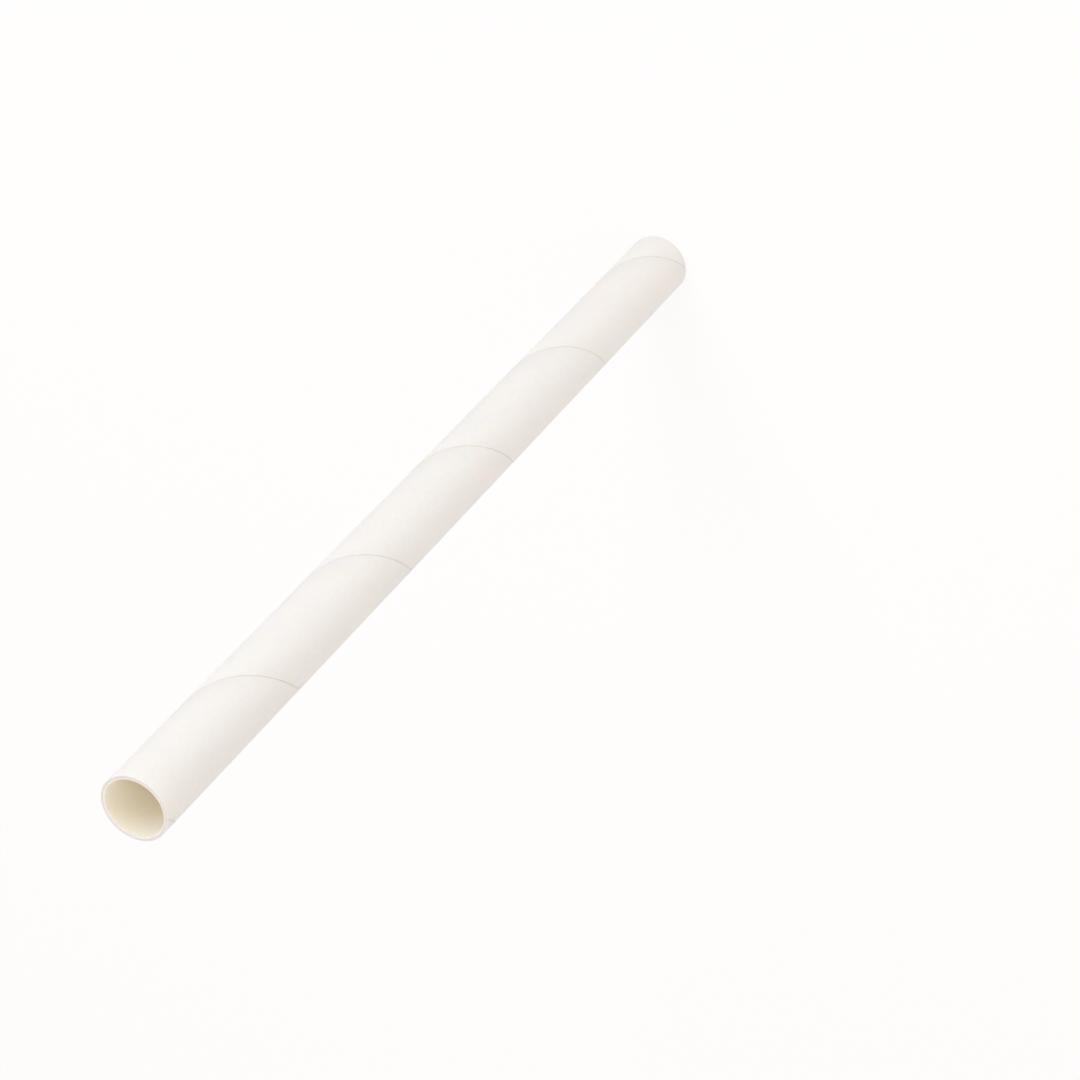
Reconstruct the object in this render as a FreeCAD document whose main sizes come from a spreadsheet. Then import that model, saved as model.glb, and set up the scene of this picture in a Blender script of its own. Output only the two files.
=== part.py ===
import FreeCAD, Part
import math
import os
import Sketcher

# A jumbo paper drinking straw, wound on the slant from glued strips of paper and cut square.
# Millimetres. The straw stands on its far end, with its axis on Z and that end's middle at the origin.
# Its plies are glued to one wall, so the straw is one solid. The outermost is a strip of thin white
# paper, whose two edges meet in a fine open joint. The joint climbs the wall as a right-handed helix
# and runs out at both ends.

SIZES = [
    ("straw_length", 197.0, "cut length, end to end"),
    ("outer_diameter", 12.0, "jumbo straw, for thick drinks"),
    ("wall_thickness", 0.75, "all plies and their glue"),
    ("outer_ply", 0.1, "the outer strip of thin white paper, and so the depth of its joint"),
    ("seam_pitch", 39.5, "climb of the outer strip in one turn"),
    ("seam_gap", 0.16, "open width of the joint, along the straw"),
    ("seam_height", 15.5, "middle of the joint's lowest crossing of the +X side"),
    ("outer_rim_round", 0.08, "outside edges of the cut, softened by the knife"),
    ("bore_rim_round", 0.15, "inside edges of the cut, which the knife turns in a little"),
    ("cutter_overrun", 1.0, "how far the joint's cutting profile stands outside the wall"),
]
TURNS_OUTSIDE = 2  # turns of the joint's cutting profile past each end, so that it runs right out


def make_sheet(doc):
    """Driving dimensions, one row each: alias, value, note."""
    sheet = doc.addObject("Spreadsheet::Sheet", "sizes")
    for row, (alias, value, note) in enumerate(SIZES, start=1):
        sheet.set(f"A{row}", alias)
        sheet.set(f"B{row}", str(value))
        sheet.set(f"C{row}", note)
        sheet.setAlias(f"B{row}", alias)
    doc.recompute()
    return sheet


def origin_feature(body, role):
    """One of the body's own origin planes or axes."""
    return next(item for item in body.Origin.OriginFeatures if item.Role == role)


def attached_sketch(body, name, role):
    """A sketch on one of the body's own origin planes."""
    sketch = body.newObject("Sketcher::SketchObject", name)
    sketch.AttachmentSupport = (origin_feature(body, role), [""])
    sketch.MapMode = "FlatFace"
    return sketch


def bind(sketch, name, constraint, rule):
    """A named constraint whose value follows the sheet."""
    sketch.renameConstraint(sketch.addConstraint(constraint), name)
    sketch.setExpression(f"Constraints.{name}", rule)


def add_wall(doc, body):
    """The tube's ring section, padded up from the foot to the cut length."""
    ring = attached_sketch(body, "wall_section", "XY_Plane")
    centre = FreeCAD.Vector(0, 0, 0)
    up = FreeCAD.Vector(0, 0, 1)
    for name, radius, rule in (
        ("outer_radius", 6.0, "sizes.outer_diameter / 2"),
        ("bore_radius", 5.0, "sizes.outer_diameter / 2 - sizes.wall_thickness"),
    ):
        circle = ring.addGeometry(Part.Circle(centre, up, radius), False)
        ring.addConstraint(Sketcher.Constraint("Coincident", circle, 3, -1, 1))
        bind(ring, name, Sketcher.Constraint("Radius", circle, radius), rule)
    wall = body.newObject("PartDesign::Pad", "wall")
    wall.Profile = ring
    wall.setExpression("Length", "sizes.straw_length")
    doc.recompute()
    return wall


def soften_rims(doc, body, base, name, radius, size):
    """A small round on the two rims of the stated radius, one at each end."""
    rims = [f"Edge{n}" for n, edge in enumerate(base.Shape.Edges, start=1)
            if isinstance(edge.Curve, Part.Circle) and abs(edge.Curve.Radius - radius) < 1e-6]
    rounds = body.newObject("PartDesign::Fillet", name)
    rounds.Base = (base, rims)
    rounds.setExpression("Radius", size)
    doc.recompute()
    return rounds


def add_seam(doc, body):
    """The outer strip's joint: a groove as deep as that strip, on a right-handed helix, open at both ends."""
    section = attached_sketch(body, "seam_section", "XZ_Plane")
    corners = [FreeCAD.Vector(x, z, 0) for x, z in ((5.9, -70), (7.0, -70), (7.0, -69), (5.9, -69))]
    sides = [section.addGeometry(Part.LineSegment(a, b), False)
             for a, b in zip(corners, corners[1:] + corners[:1])]
    for first, second in zip(sides, sides[1:] + sides[:1]):
        section.addConstraint(Sketcher.Constraint("Coincident", first, 2, second, 1))
    for side, kind in zip(sides, ("Horizontal", "Vertical", "Horizontal", "Vertical")):
        section.addConstraint(Sketcher.Constraint(kind, side))
    lower, outer = sides[:2]
    bind(section, "groove_floor", Sketcher.Constraint("DistanceX", -1, 1, lower, 1, 5.9),
         "sizes.outer_diameter / 2 - sizes.outer_ply")
    bind(section, "reach", Sketcher.Constraint("DistanceX", lower, 1, lower, 2, 1.1),
         "sizes.outer_ply + sizes.cutter_overrun")
    bind(section, "gap", Sketcher.Constraint("DistanceY", outer, 1, outer, 2, 1.0), "sizes.seam_gap")
    bind(section, "start", Sketcher.Constraint("DistanceY", lower, 1, -1, 1, 70.0),
         f"{TURNS_OUTSIDE} * sizes.seam_pitch - sizes.seam_height + sizes.seam_gap / 2")
    doc.recompute()
    seam = body.newObject("PartDesign::SubtractiveHelix", "seam")
    seam.Profile = section
    seam.ReferenceAxis = (origin_feature(body, "Z_Axis"), [""])
    seam.Mode = "pitch-height-angle"
    seam.setExpression("Pitch", "sizes.seam_pitch")
    seam.setExpression("Height", f"sizes.straw_length + {2 * TURNS_OUTSIDE} * sizes.seam_pitch")
    seam.LeftHanded = False
    seam.Reversed = False
    # The wall stays one face a turn: a single face wound through every turn breaks when it is cut.
    seam.Refine = False
    doc.recompute()
    return seam


def check_document(doc, body, uncut_volume, groove_volume):
    """Stops on a failed object, an unsound solid or a joint that is missing or runs short."""
    for item in doc.Objects:
        if "Invalid" in item.State or "Error" in item.State:
            raise RuntimeError(f"{item.Label} failed: {item.State}")
    if body.Shape.isNull() or not body.Shape.isValid() or len(body.Shape.Solids) != 1:
        raise RuntimeError(f"{body.Label} isn't one valid solid")
    share = (uncut_volume - body.Shape.Volume) / groove_volume
    print(f"the joint takes {share:.3f} of the volume that its section and length give")
    if not 0.9 < share < 1.1:
        raise RuntimeError("the joint isn't cut right through, from end to end")


def groove_volume(sheet):
    """Section times developed length: one circle of the groove's mid radius for each pitch of height."""
    mid_radius = (sheet.outer_diameter - sheet.outer_ply) / 2
    swept = 2 * math.pi * mid_radius * sheet.straw_length / sheet.seam_pitch
    return sheet.outer_ply * sheet.seam_gap * swept


def main():
    doc = FreeCAD.newDocument("paper_straw")
    sheet = make_sheet(doc)
    body = doc.addObject("PartDesign::Body", "straw_tube")
    body.Label = "straw_tube"
    wall = add_wall(doc, body)
    outer_radius = sheet.outer_diameter / 2
    rounds = soften_rims(doc, body, wall, "outer_rims", outer_radius, "sizes.outer_rim_round")
    rounds = soften_rims(doc, body, rounds, "bore_rims", outer_radius - sheet.wall_thickness,
                         "sizes.bore_rim_round")
    uncut_volume = rounds.Shape.Volume
    body.Tip = add_seam(doc, body)
    doc.recompute()
    check_document(doc, body, uncut_volume, groove_volume(sheet))
    os.makedirs("parts", exist_ok=True)
    body.Shape.exportStep(f"parts/{body.Label}.step")
    print(f"{body.Label}: {body.Shape.Volume:.1f} mm3, {len(body.Shape.Faces)} faces")


main()
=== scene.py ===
import math

import bpy
from mathutils import Matrix, Vector


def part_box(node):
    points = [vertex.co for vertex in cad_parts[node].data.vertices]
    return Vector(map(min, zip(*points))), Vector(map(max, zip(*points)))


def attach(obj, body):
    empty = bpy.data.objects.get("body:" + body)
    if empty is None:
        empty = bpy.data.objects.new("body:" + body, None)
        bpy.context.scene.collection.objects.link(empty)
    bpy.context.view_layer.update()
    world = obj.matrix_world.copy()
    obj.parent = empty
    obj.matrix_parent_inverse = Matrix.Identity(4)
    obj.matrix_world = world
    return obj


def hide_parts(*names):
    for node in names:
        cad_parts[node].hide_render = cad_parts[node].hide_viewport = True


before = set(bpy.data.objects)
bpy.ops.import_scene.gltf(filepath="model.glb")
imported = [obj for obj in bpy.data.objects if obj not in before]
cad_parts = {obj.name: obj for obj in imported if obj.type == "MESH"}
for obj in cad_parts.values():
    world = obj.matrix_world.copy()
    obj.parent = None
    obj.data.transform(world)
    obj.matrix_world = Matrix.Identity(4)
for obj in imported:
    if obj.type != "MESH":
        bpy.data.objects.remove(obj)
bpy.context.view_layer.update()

# A jumbo paper straw, wound on the slant from glued strips and standing on one cut end.
# Metres. The axis is Z, the foot is on the floor and the open mouth is on top.
MM = 0.001
ORIGIN = (0.0, 0.0, 0.0)
UP = (0.0, 0.0, 1.0)
TINY = 0.0005 * MM  # vertices closer together than this are one
CUT_TOLERANCE = TINY / 10  # finer, so that each vertex of a trimmed edge is found again at its height

# Wall and plies
straw_low, straw_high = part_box("straw_tube")
LENGTH = straw_high.z - straw_low.z
OUTER = (straw_high.x - straw_low.x) / 2
WALL = 0.75 * MM
BORE = OUTER - WALL
OUTER_PLY = 0.1 * MM
INNER_PLIES = 4
INNER_PLY = (WALL - OUTER_PLY) / INNER_PLIES
STEPS = 192  # flats round the straw

# The outer strip and its joint
PITCH = 39.5 * MM  # climb in one turn
GAP = 0.16 * MM  # open width of the joint, along the straw
JOINT_HEIGHT = 15.5 * MM  # middle of the joint's lowest crossing of the +X side
JOINT_FLOOR = OUTER - OUTER_PLY  # distance from the axis
OFF_FLOOR = 0.1 * OUTER_PLY  # a vertex higher than this above the joint's floor isn't part of it
TURNS_BELOW = 2  # turns wound below the foot, to be trimmed off
TURNS = math.ceil(LENGTH / PITCH) + TURNS_BELOW
STRIP_SPANS = 4  # faces across the strip's width

# Edges of the strip, of the cut's outside and of the cut's turned-in inside
STRIP_EDGE = 0.035 * MM
OUTER_RIM = 0.08 * MM
BORE_RIM = 0.15 * MM
RIM_STEPS = 3

# Fine creases between the plies in the cut faces
CREASE = 0.01 * MM
CREASE_DEPTH = 0.02 * MM

# Where each paper shows
LIP_WIDTH = 1.5 * INNER_PLY  # out from the bore's wall
JOINT_DEPTH = 0.3 * STRIP_EDGE  # the joint's paper starts this far below the outside
SMOOTH_ANGLE = math.radians(35)

# Colours of the papers, in their lighter and darker patches
PAPER_LIGHT = (0.965, 0.92, 0.875)
PAPER_DARK = (0.945, 0.90, 0.855)
# The bore's cream is partly the ply's own tone and partly painted warm bounce light.
BORE_LIGHT = (0.975, 0.90, 0.79)
BORE_DARK = (0.955, 0.88, 0.77)
# The cut faces' grey is partly the cut fibres' own and partly painted shade.
CUT_LIGHT = (0.80, 0.785, 0.765)
CUT_DARK = (0.73, 0.715, 0.695)
# The lip's colours are lighter than the cut's: a painted highlight on the bore's rim.
LIP_LIGHT = (0.90, 0.86, 0.80)
LIP_DARK = (0.86, 0.815, 0.75)
# The joint's darker colours are partly glue stain and partly painted shade in the groove.
JOINT_LIGHT = (0.90, 0.83, 0.76)
JOINT_DARK = (0.80, 0.73, 0.66)

# Patches: their size, how much finer detail they hold, and where in the noise dark and light are full
CLOUD_GRAIN = 0.7 * MM
CUT_GRAIN = 0.2 * MM
JOINT_GRAIN = 1.5 * MM
PATCH_DETAIL = 3.0
PLAIN_DETAIL = 2.0
SHARP_SPREAD = (0.35, 0.65)
SOFT_SPREAD = (0.3, 0.7)

# Relief: cloudiness and short fibres on the faces, open fibres in the cut
FIBRE_GRAIN = 0.12 * MM
FIBRE_STRETCH = (1.0, 1.0, 4.0)
NO_STRETCH = (1.0, 1.0, 1.0)
CLOUD_RELIEF = 0.008 * MM
FIBRE_RELIEF = 0.006 * MM
CUT_RELIEF = 0.02 * MM
LIP_RELIEF = 0.01 * MM

# Roughness of the papers, and how far light soaks into them, the warm part of it furthest
PAPER_ROUGHNESS = 0.62
BORE_ROUGHNESS = 0.7
CUT_ROUGHNESS = 0.85
LIP_ROUGHNESS = 0.8
JOINT_ROUGHNESS = 0.8
SOAK = 0.3 * MM
BORE_SOAK = 1.2 * MM
SOAK_TINT = (1.0, 0.85, 0.7)

# Floor and room
WHITE = (1.0, 1.0, 1.0, 1.0)
FLOOR_SIZE = 6.0
FLOOR_COLOUR = (0.9, 0.9, 0.9, 1.0)
FLOOR_ROUGHNESS = 0.9
FLOOR_GLOW = 0.7  # share of plain white in what the camera sees of the floor
FLOOR_WHITE = 1.04  # a little over white, to make up for the floor's own paler share
ROOM_LIGHT = 0.82
ROOM_TINT = (1.0, 0.935, 0.905, 1.0)
ROOM_GRADIENT = 0.165  # share of its light that the room gains on one side and loses on the other
ROOM_BRIGHTER_TOWARDS = (-0.87, -0.5, 0.0)

# Lamps: where they hang from the straw's middle, the side of their square, their watts and their tint
LAMP_DISTANCE = 0.9
KEY_TOWARDS = (0.77, -0.64, 0.4)
KEY_SIZE = 0.5
KEY_POWER = 2.2
KEY_TINT = (0.79, 0.87, 0.97)
TOP_SIZE = 0.6
TOP_POWER = 1.2
TOP_TINT = (1.0, 1.0, 1.0)

# The photograph's camera: its place, its tilt and roll in degrees, and its lens and sensor in millimetres
CAMERA_PLACE = Vector((-18.91, -406.25, 559.53)) * MM
CAMERA_DOWN = 49.39
CAMERA_ROLL = -138.13
CAMERA_LENS = 116.99
SENSOR_WIDTH = 36.0
CLIP_NEAR = 0.01
CLIP_FAR = 20.0


def select_nothing():
    """Deselects every object."""
    bpy.ops.object.select_all(action="DESELECT")


def open_edit(name):
    """Names the new primitive and its mesh, and opens it in edit mode with everything selected."""
    piece = bpy.context.object
    piece.name = name
    piece.data.name = name
    bpy.ops.object.mode_set(mode="EDIT")
    bpy.ops.mesh.select_all(action="SELECT")
    return piece


def close_edit():
    """Back to object mode, with nothing selected."""
    bpy.ops.object.mode_set(mode="OBJECT")
    select_nothing()


def radius(place):
    """Distance from the straw's axis."""
    return math.hypot(place.x, place.y)


def pick_ring(piece, height, least=0.0):
    """Selects, in edit mode, the vertices at one height that are farther from the axis than least."""
    bpy.ops.mesh.select_mode(type="VERT")
    bpy.ops.mesh.select_all(action="DESELECT")
    bpy.ops.object.mode_set(mode="OBJECT")
    for vertex in piece.data.vertices:
        vertex.select = abs(vertex.co.z - height) < TINY and radius(vertex.co) > least
    bpy.ops.object.mode_set(mode="EDIT")


def pull(step):
    """Extrudes what is selected by one step."""
    bpy.ops.mesh.extrude_region_move(TRANSFORM_OT_translate={"value": step})


def draw_in(factor):
    """Scales what is selected towards the axis, or away from it, at its own height."""
    bpy.ops.transform.resize(value=(factor, factor, 1.0), center_override=ORIGIN)


def rim_turns():
    """Angles that the steps of a rim's round reach, the last one a quarter turn."""
    return [step / RIM_STEPS * math.pi / 2 for step in range(1, RIM_STEPS + 1)]


def strip_profile():
    """Steps outwards and upwards round the strip's section, from one joint's middle to the next one's."""
    # The middle of the round edge lies this far in from both sides of its corner.
    bend = STRIP_EDGE * (1 - math.sqrt(0.5))
    rise = (PITCH - GAP - 2 * STRIP_EDGE) / STRIP_SPANS
    lower_edge = [
        (0.0, GAP / 2),
        (OUTER_PLY - STRIP_EDGE, 0.0),
        (STRIP_EDGE - bend, bend),
        (bend, STRIP_EDGE - bend),
    ]
    upper_edge = [(-out, up) for out, up in reversed(lower_edge)]
    return lower_edge + [(0.0, rise)] * STRIP_SPANS + upper_edge


def round_outer_rim(skin, height, outwards):
    """Carries the skin's open edge on to the cut in a small round, which the joint's floor stays out of."""
    level = height
    reach = OUTER
    for turn in rim_turns():
        next_level = height + outwards * OUTER_RIM * math.sin(turn)
        next_reach = OUTER - OUTER_RIM * (1 - math.cos(turn))
        pick_ring(skin, level)
        pull((0.0, 0.0, next_level - level))
        level = next_level
        pick_ring(skin, level, least=JOINT_FLOOR + OFF_FLOOR)
        draw_in(next_reach / reach)
        reach = next_reach


def wind_outer_strip():
    """The outer skin: the strip's profile over one turn, from joint to joint, swept up as a screw."""
    select_nothing()
    bpy.ops.mesh.primitive_plane_add(size=MM, location=ORIGIN)
    skin = open_edit("straw_tube_skin")
    bpy.ops.mesh.merge(type="CENTER")
    bpy.ops.transform.translate(value=(JOINT_FLOOR, 0.0, JOINT_HEIGHT - TURNS_BELOW * PITCH))
    for out, up in strip_profile():
        pull((out, 0.0, up))
    close_edit()
    bpy.context.view_layer.objects.active = skin
    winding = skin.modifiers.new("winding", "SCREW")
    winding.axis = "Z"
    winding.angle = math.tau
    winding.screw_offset = PITCH
    winding.iterations = TURNS
    winding.steps = STEPS
    winding.render_steps = STEPS
    bpy.ops.object.modifier_apply(modifier=winding.name)
    bpy.ops.object.mode_set(mode="EDIT")
    bpy.ops.mesh.select_all(action="SELECT")
    bpy.ops.mesh.remove_doubles(threshold=TINY)
    for height, lower_end in ((OUTER_RIM, True), (LENGTH - OUTER_RIM, False)):
        bpy.ops.mesh.select_all(action="SELECT")
        bpy.ops.mesh.bisect(
            plane_co=(0.0, 0.0, height),
            plane_no=UP,
            clear_inner=lower_end,
            clear_outer=not lower_end,
            threshold=CUT_TOLERANCE,
        )
    round_outer_rim(skin, OUTER_RIM, -1)
    round_outer_rim(skin, LENGTH - OUTER_RIM, 1)
    close_edit()
    return skin


def cut_face_steps():
    """Distances from the axis and depths below the cut, from the bore's wall out to the outer strip."""
    steps = []
    for turn in rim_turns():
        steps.append((BORE + BORE_RIM * (1 - math.cos(turn)), BORE_RIM * (1 - math.sin(turn))))
    for ply in range(1, INNER_PLIES):
        glue = BORE + ply * INNER_PLY
        steps += [(glue - CREASE, 0.0), (glue, CREASE_DEPTH), (glue + CREASE, 0.0)]
    steps.append((JOINT_FLOOR, 0.0))
    return steps


def roll_inner_plies():
    """The bore's wall, with a cut face at each end that is drawn out to where the outer strip begins."""
    select_nothing()
    bpy.ops.mesh.primitive_cylinder_add(
        vertices=STEPS,
        radius=BORE,
        depth=LENGTH - 2 * BORE_RIM,
        end_fill_type="NOTHING",
        location=(0.0, 0.0, LENGTH / 2),
    )
    bpy.ops.object.transform_apply(location=True, rotation=True, scale=True)
    core = open_edit("straw_tube_core")
    for end, outwards in ((0.0, -1), (LENGTH, 1)):
        level = end - outwards * BORE_RIM
        reach = BORE
        pick_ring(core, level)
        for next_reach, depth in cut_face_steps():
            next_level = end - outwards * depth
            pull((0.0, 0.0, next_level - level))
            draw_in(next_reach / reach)
            level = next_level
            reach = next_reach
    close_edit()
    return core


def close_up(core, skin):
    """Joins the skin to the core, bridges the gap between them at both ends and turns all faces out."""
    select_nothing()
    skin.select_set(True)
    core.select_set(True)
    bpy.context.view_layer.objects.active = core
    bpy.ops.object.join()
    bpy.ops.object.mode_set(mode="EDIT")
    for end in (0.0, LENGTH):
        bpy.ops.mesh.select_mode(type="VERT")
        bpy.ops.mesh.select_all(action="DESELECT")
        bpy.ops.mesh.select_non_manifold(
            extend=False,
            use_wire=False,
            use_boundary=True,
            use_multi_face=False,
            use_non_contiguous=False,
            use_verts=False,
        )
        bpy.ops.object.mode_set(mode="OBJECT")
        for vertex in core.data.vertices:
            vertex.select = vertex.select and abs(vertex.co.z - end) < WALL
        for edge in core.data.edges:
            first, second = (core.data.vertices[number] for number in edge.vertices)
            edge.select = edge.select and first.select and second.select
        bpy.ops.object.mode_set(mode="EDIT")
        bpy.ops.mesh.select_mode(type="EDGE")
        bpy.ops.mesh.bridge_edge_loops()
    bpy.ops.mesh.select_all(action="SELECT")
    bpy.ops.mesh.remove_doubles(threshold=CUT_TOLERANCE)
    bpy.ops.mesh.normals_make_consistent(inside=False)
    close_edit()
    return core


def new_material(name):
    """A material with a Principled shader, and its nodes and links."""
    material = bpy.data.materials.new(name)
    material.use_nodes = True
    return material, material.node_tree.nodes, material.node_tree.links


def noise(nodes, links, grain, detail, stretch=NO_STRETCH):
    """Noise fixed to the straw, with patches about one grain across, stretched along X, Y and Z."""
    place = nodes.new("ShaderNodeTexCoord")
    mapping = nodes.new("ShaderNodeMapping")
    mapping.inputs["Scale"].default_value = [1 / (grain * side) for side in stretch]
    links.new(place.outputs["Object"], mapping.inputs["Vector"])
    texture = nodes.new("ShaderNodeTexNoise")
    texture.inputs["Scale"].default_value = 1.0
    texture.inputs["Detail"].default_value = detail
    links.new(mapping.outputs["Vector"], texture.inputs["Vector"])
    return texture.outputs["Fac"]


def colour_patches(nodes, links, pattern, dark, light, spread):
    """Colours the paper from dark to light along the pattern."""
    ramp = nodes.new("ShaderNodeValToRGB")
    for stop, position, colour in zip(ramp.color_ramp.elements, spread, (dark, light)):
        stop.position = position
        stop.color = (*colour, 1.0)
    links.new(pattern, ramp.inputs["Fac"])
    links.new(ramp.outputs["Color"], nodes["Principled BSDF"].inputs["Base Color"])


def raise_relief(nodes, links, *layers):
    """Raises the paper's face by each pattern, to its own depth, one over the other."""
    under = None
    for pattern, depth in layers:
        bump = nodes.new("ShaderNodeBump")
        bump.inputs["Distance"].default_value = depth
        links.new(pattern, bump.inputs["Height"])
        if under is not None:
            links.new(under, bump.inputs["Normal"])
        under = bump.outputs["Normal"]
    links.new(under, nodes["Principled BSDF"].inputs["Normal"])


def new_paper(name, roughness, soak):
    """A matte material that light soaks into, as it does through the thin wall."""
    material, nodes, links = new_material(name)
    shader = nodes["Principled BSDF"]
    shader.inputs["Roughness"].default_value = roughness
    shader.inputs["Subsurface Weight"].default_value = 1.0
    shader.inputs["Subsurface Radius"].default_value = SOAK_TINT
    shader.inputs["Subsurface Scale"].default_value = soak
    return material, nodes, links


def white_paper():
    """Plain white uncoated paper: a faint cloudiness, short fibres and a matte face."""
    paper, nodes, links = new_paper("white_paper", PAPER_ROUGHNESS, SOAK)
    cloud = noise(nodes, links, CLOUD_GRAIN, PATCH_DETAIL)
    colour_patches(nodes, links, cloud, PAPER_DARK, PAPER_LIGHT, SHARP_SPREAD)
    fibres = noise(nodes, links, FIBRE_GRAIN, PLAIN_DETAIL, FIBRE_STRETCH)
    raise_relief(nodes, links, (cloud, CLOUD_RELIEF), (fibres, FIBRE_RELIEF))
    return paper


def bore_paper_warm_light():
    """The inside of the innermost ply, which is creamier than the outside: partly the ply's own tone and
    partly painted warm light that bounces inside the bore.
    """
    paper, nodes, links = new_paper("bore_paper_warm_light", BORE_ROUGHNESS, BORE_SOAK)
    cloud = noise(nodes, links, CLOUD_GRAIN, PATCH_DETAIL)
    colour_patches(nodes, links, cloud, BORE_DARK, BORE_LIGHT, SHARP_SPREAD)
    fibres = noise(nodes, links, FIBRE_GRAIN, PLAIN_DETAIL, FIBRE_STRETCH)
    raise_relief(nodes, links, (fibres, FIBRE_RELIEF))
    return paper


def shaded_cut_paper():
    """The cut ends of the plies: open fibres, greyer than the paper's face, partly their own grey and
    partly painted shade.
    """
    paper, nodes, links = new_paper("shaded_cut_paper", CUT_ROUGHNESS, SOAK)
    fluff = noise(nodes, links, CUT_GRAIN, PATCH_DETAIL)
    colour_patches(nodes, links, fluff, CUT_DARK, CUT_LIGHT, SOFT_SPREAD)
    raise_relief(nodes, links, (fluff, CUT_RELIEF))
    return paper


def lip_paper_highlight():
    """The inner plies' edge, which the knife turned in: the same paper as the bore, but lighter, which is a
    painted highlight where the rim catches the light.
    """
    paper, nodes, links = new_paper("lip_paper_highlight", LIP_ROUGHNESS, SOAK)
    fluff = noise(nodes, links, CUT_GRAIN, PATCH_DETAIL)
    colour_patches(nodes, links, fluff, LIP_DARK, LIP_LIGHT, SOFT_SPREAD)
    raise_relief(nodes, links, (fluff, LIP_RELIEF))
    return paper


def shaded_joint_paper():
    """The strip's edges and the glued ply that shows between them, darker than the wall: partly the glue's
    stain and partly painted shade in the groove.
    """
    paper, nodes, links = new_paper("shaded_joint_paper", JOINT_ROUGHNESS, SOAK)
    patches = noise(nodes, links, JOINT_GRAIN, PLAIN_DETAIL)
    colour_patches(nodes, links, patches, JOINT_DARK, JOINT_LIGHT, SOFT_SPREAD)
    return paper


def dress(piece):
    """Gives the wall, the bore, the cut faces, their lips and the joint their papers."""
    piece.data.materials.clear()
    for paper in (white_paper(), bore_paper_warm_light(), shaded_cut_paper(), lip_paper_highlight(), shaded_joint_paper()):
        piece.data.materials.append(paper)
    wall, bore, cut, lip, joint = range(5)
    for face in piece.data.polygons:
        place = face.center
        reach = radius(place)
        near_end = min(place.z, LENGTH - place.z) < OUTER_RIM
        if reach < BORE + TINY:
            face.material_index = bore
        # the lip, lighter as a painted highlight on the bore's rim
        elif reach < BORE + LIP_WIDTH:
            face.material_index = lip
        # the cut faces, grey partly as painted shade
        elif near_end:
            face.material_index = cut
        # the joint, darker partly as painted shade in the groove
        elif reach < OUTER - JOINT_DEPTH:
            face.material_index = joint
        else:
            face.material_index = wall
    bpy.context.view_layer.objects.active = piece
    piece.select_set(True)
    bpy.ops.object.shade_smooth_by_angle(angle=SMOOTH_ANGLE)
    select_nothing()


def seen_by_camera(nodes, links):
    """1 for what the camera sees, also in a gloss or through glass, and 0 for light on its way."""
    rays = nodes.new("ShaderNodeLightPath")
    seen = rays.outputs["Is Camera Ray"]
    for kind in ("Is Glossy Ray", "Is Transmission Ray"):
        either = nodes.new("ShaderNodeMath")
        either.operation = "MAXIMUM"
        links.new(seen, either.inputs[0])
        links.new(rays.outputs[kind], either.inputs[1])
        seen = either.outputs[0]
    return seen


def white_floor():
    """A pale floor that the camera sees as white, apart from the soft shadow on it."""
    select_nothing()
    bpy.ops.mesh.primitive_plane_add(size=FLOOR_SIZE, location=ORIGIN)
    floor = bpy.context.object
    floor.name = "floor"
    material, nodes, links = new_material("floor_white")
    shader = nodes["Principled BSDF"]
    shader.inputs["Base Color"].default_value = FLOOR_COLOUR
    shader.inputs["Roughness"].default_value = FLOOR_ROUGHNESS
    shader.inputs["Specular IOR Level"].default_value = 0.0
    shine = nodes.new("ShaderNodeEmission")
    shine.inputs["Strength"].default_value = FLOOR_WHITE
    share = nodes.new("ShaderNodeMath")
    share.operation = "MULTIPLY"
    share.inputs[1].default_value = FLOOR_GLOW
    links.new(seen_by_camera(nodes, links), share.inputs[0])
    mix = nodes.new("ShaderNodeMixShader")
    links.new(share.outputs[0], mix.inputs["Fac"])
    links.new(shader.outputs["BSDF"], mix.inputs[1])
    links.new(shine.outputs["Emission"], mix.inputs[2])
    links.new(mix.outputs["Shader"], nodes["Material Output"].inputs["Surface"])
    floor.data.materials.append(material)
    select_nothing()


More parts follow.
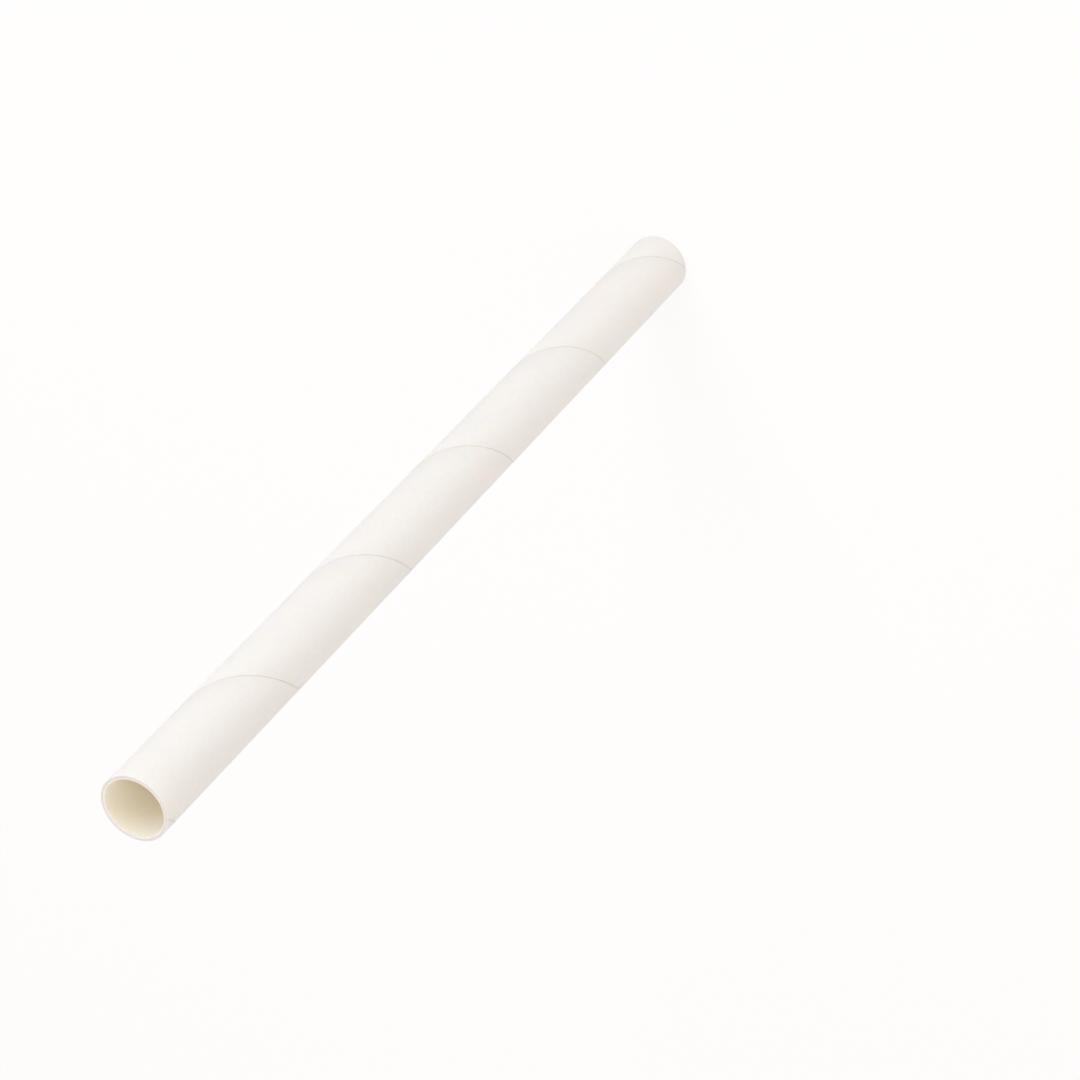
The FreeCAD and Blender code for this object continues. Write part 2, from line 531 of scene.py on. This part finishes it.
def white_room():
    """White all round for the camera, and a soft light for the rest, a little stronger from one side."""
    world = bpy.data.worlds.new("white_room")
    bpy.context.scene.world = world
    world.use_nodes = True
    nodes, links = world.node_tree.nodes, world.node_tree.links
    soft = nodes["Background"]
    soft.inputs["Color"].default_value = ROOM_TINT
    side = nodes.new("ShaderNodeVectorMath")
    side.operation = "DOT_PRODUCT"
    side.inputs[1].default_value = ROOM_BRIGHTER_TOWARDS
    links.new(nodes.new("ShaderNodeTexCoord").outputs["Generated"], side.inputs[0])
    level = nodes.new("ShaderNodeMath")
    level.operation = "MULTIPLY_ADD"
    level.inputs[1].default_value = ROOM_LIGHT * ROOM_GRADIENT
    level.inputs[2].default_value = ROOM_LIGHT
    links.new(side.outputs["Value"], level.inputs[0])
    links.new(level.outputs[0], soft.inputs["Strength"])
    white = nodes.new("ShaderNodeBackground")
    white.inputs["Color"].default_value = WHITE
    white.inputs["Strength"].default_value = 1.0
    mix = nodes.new("ShaderNodeMixShader")
    links.new(seen_by_camera(nodes, links), mix.inputs["Fac"])
    links.new(soft.outputs["Background"], mix.inputs[1])
    links.new(white.outputs["Background"], mix.inputs[2])
    links.new(mix.outputs["Shader"], nodes["World Output"].inputs["Surface"])


def hang_lamp(name, towards, size, power, tint):
    """A square soft lamp that faces the middle of the straw from the stated direction."""
    middle = Vector((0.0, 0.0, LENGTH / 2))
    direction = Vector(towards).normalized()
    bpy.ops.object.light_add(type="AREA", location=middle + direction * LAMP_DISTANCE)
    lamp = bpy.context.object
    lamp.name = name
    lamp.data.shape = "SQUARE"
    lamp.data.size = size
    lamp.data.energy = power
    lamp.data.color = tint
    lamp.visible_camera = False
    lamp.rotation_euler = (-direction).to_track_quat("-Z", "Y").to_euler()
    select_nothing()


def place_camera():
    """The camera looks down along +Y at the mouth, rolled over to its left."""
    bpy.ops.object.camera_add()
    camera = bpy.context.object
    camera.name = "photo_camera"
    tilt = Matrix.Rotation(math.radians(90 - CAMERA_DOWN), 4, "X")
    roll = Matrix.Rotation(math.radians(CAMERA_ROLL), 4, "Z")
    camera.matrix_world = Matrix.Translation(CAMERA_PLACE) @ tilt @ roll
    camera.data.sensor_width = SENSOR_WIDTH
    camera.data.sensor_fit = "HORIZONTAL"
    camera.data.lens = CAMERA_LENS
    camera.data.clip_start = CLIP_NEAR
    camera.data.clip_end = CLIP_FAR
    bpy.context.scene.camera = camera
    select_nothing()


straw = close_up(roll_inner_plies(), wind_outer_strip())
straw.data.name = "straw_tube_paper"
straw.name = "straw_tube_paper"
dress(straw)
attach(straw, "root")
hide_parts("straw_tube")

white_floor()
white_room()
hang_lamp("key_lamp", KEY_TOWARDS, KEY_SIZE, KEY_POWER, KEY_TINT)
hang_lamp("top_lamp", UP, TOP_SIZE, TOP_POWER, TOP_TINT)
place_camera()
bpy.context.scene.view_settings.view_transform = "Standard"
